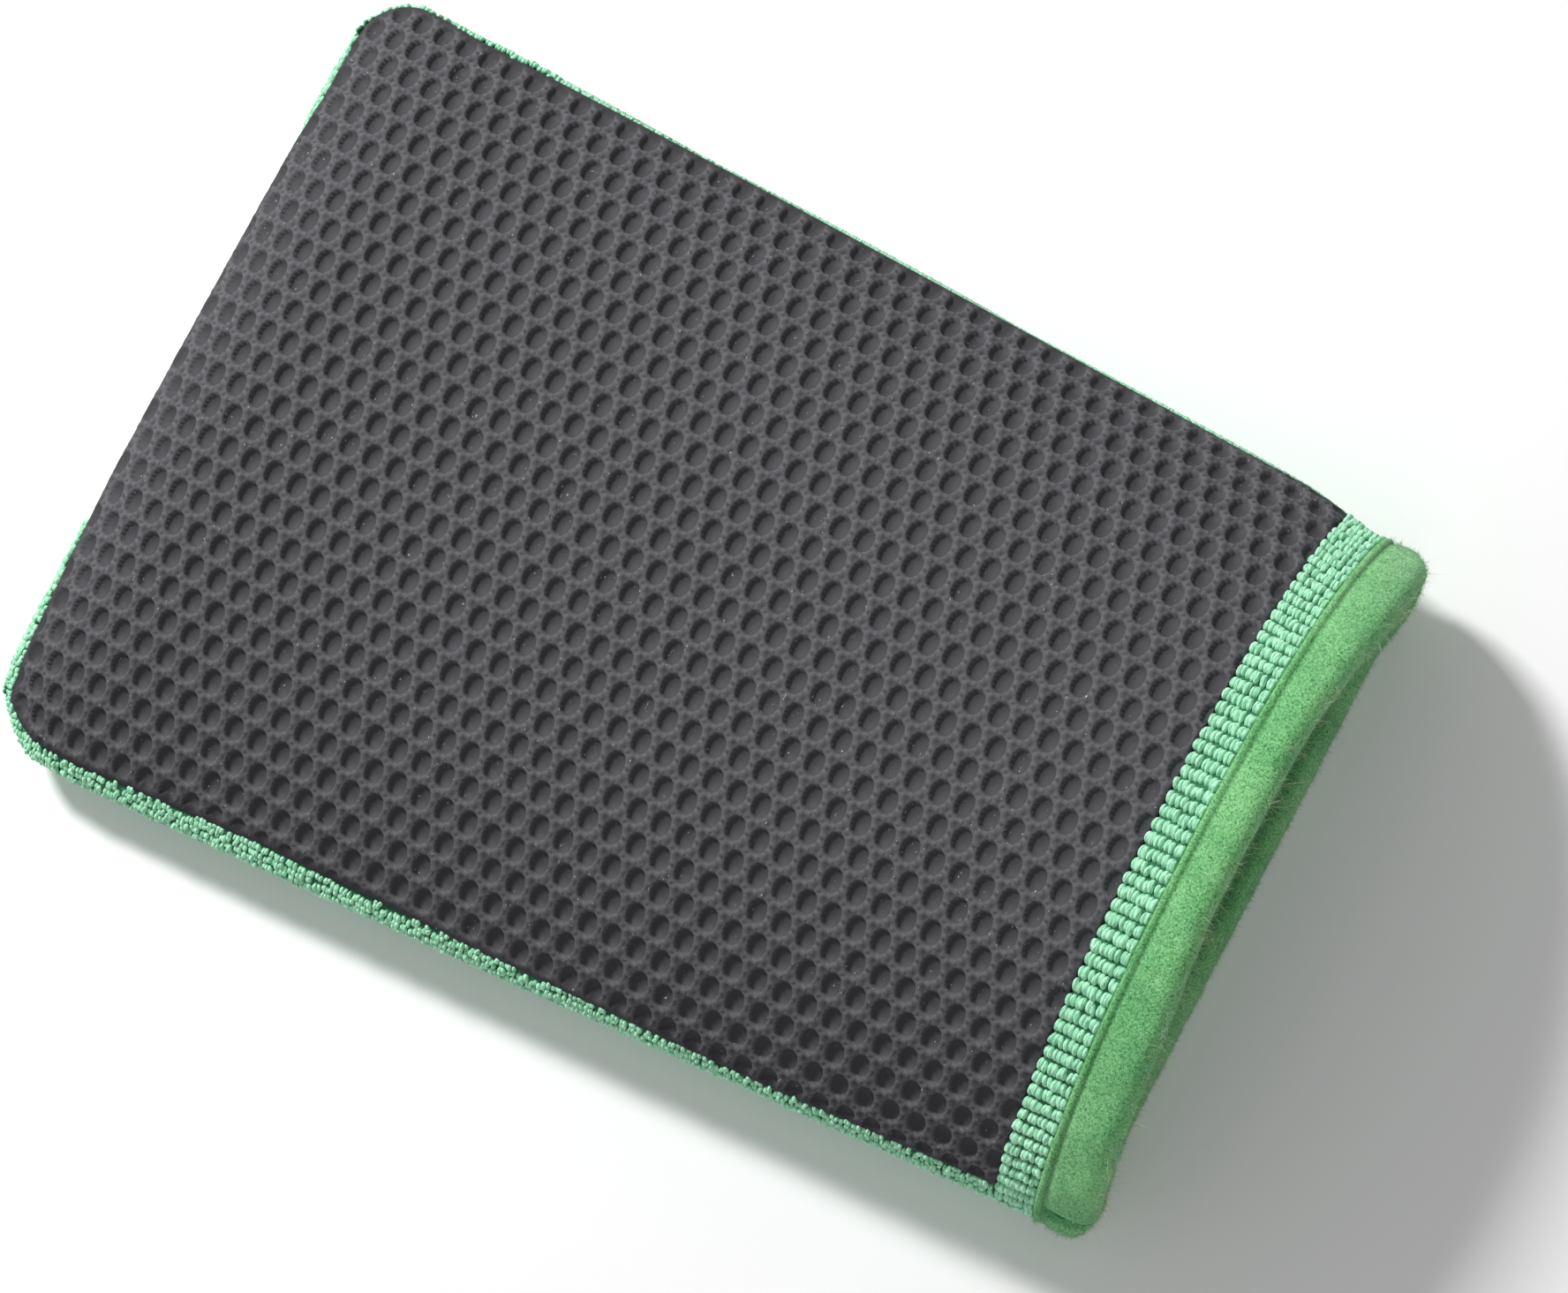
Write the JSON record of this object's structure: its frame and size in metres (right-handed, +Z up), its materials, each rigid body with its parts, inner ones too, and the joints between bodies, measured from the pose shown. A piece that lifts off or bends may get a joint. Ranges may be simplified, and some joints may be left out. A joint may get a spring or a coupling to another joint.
{
  "type": "clay wash mitt",
  "caption": "Hand mitt for cleaning car paint: a dimpled dark clay palm, a green ribbed microfibre back, and a green fleece binding round the open mouth.",
  "frame": {"origin": "centre of the bounding box at floor level, under the back panel", "axes": "+X from the fingertip end to the open mouth, +Z up from the microfibre back to the clay palm, Y across the hand"},
  "size_m": [0.2228, 0.1552, 0.0485],
  "materials": {
    "clay": "matte dark grey clay polymer with rounded dimples",
    "microfibre": "green looped microfibre in lengthwise ribs",
    "fleece": "green brushed fleece",
    "foam": "soft off-white padding",
    "lining": "plain green knitted lining",
    "thread": "dark green sewing thread"
  },
  "bodies": {
    "root": {"clay_face": "clay", "palm_microfibre": "microfibre", "back_microfibre": "microfibre", "palm_foam": "foam", "back_foam": "foam", "palm_lining": "lining", "back_lining": "lining", "cuff_binding": "fleece", "side_seam_thread": "thread", "cuff_stitch_thread": "thread", "binding_join_thread": "thread"}
  },
  "joints": []
}
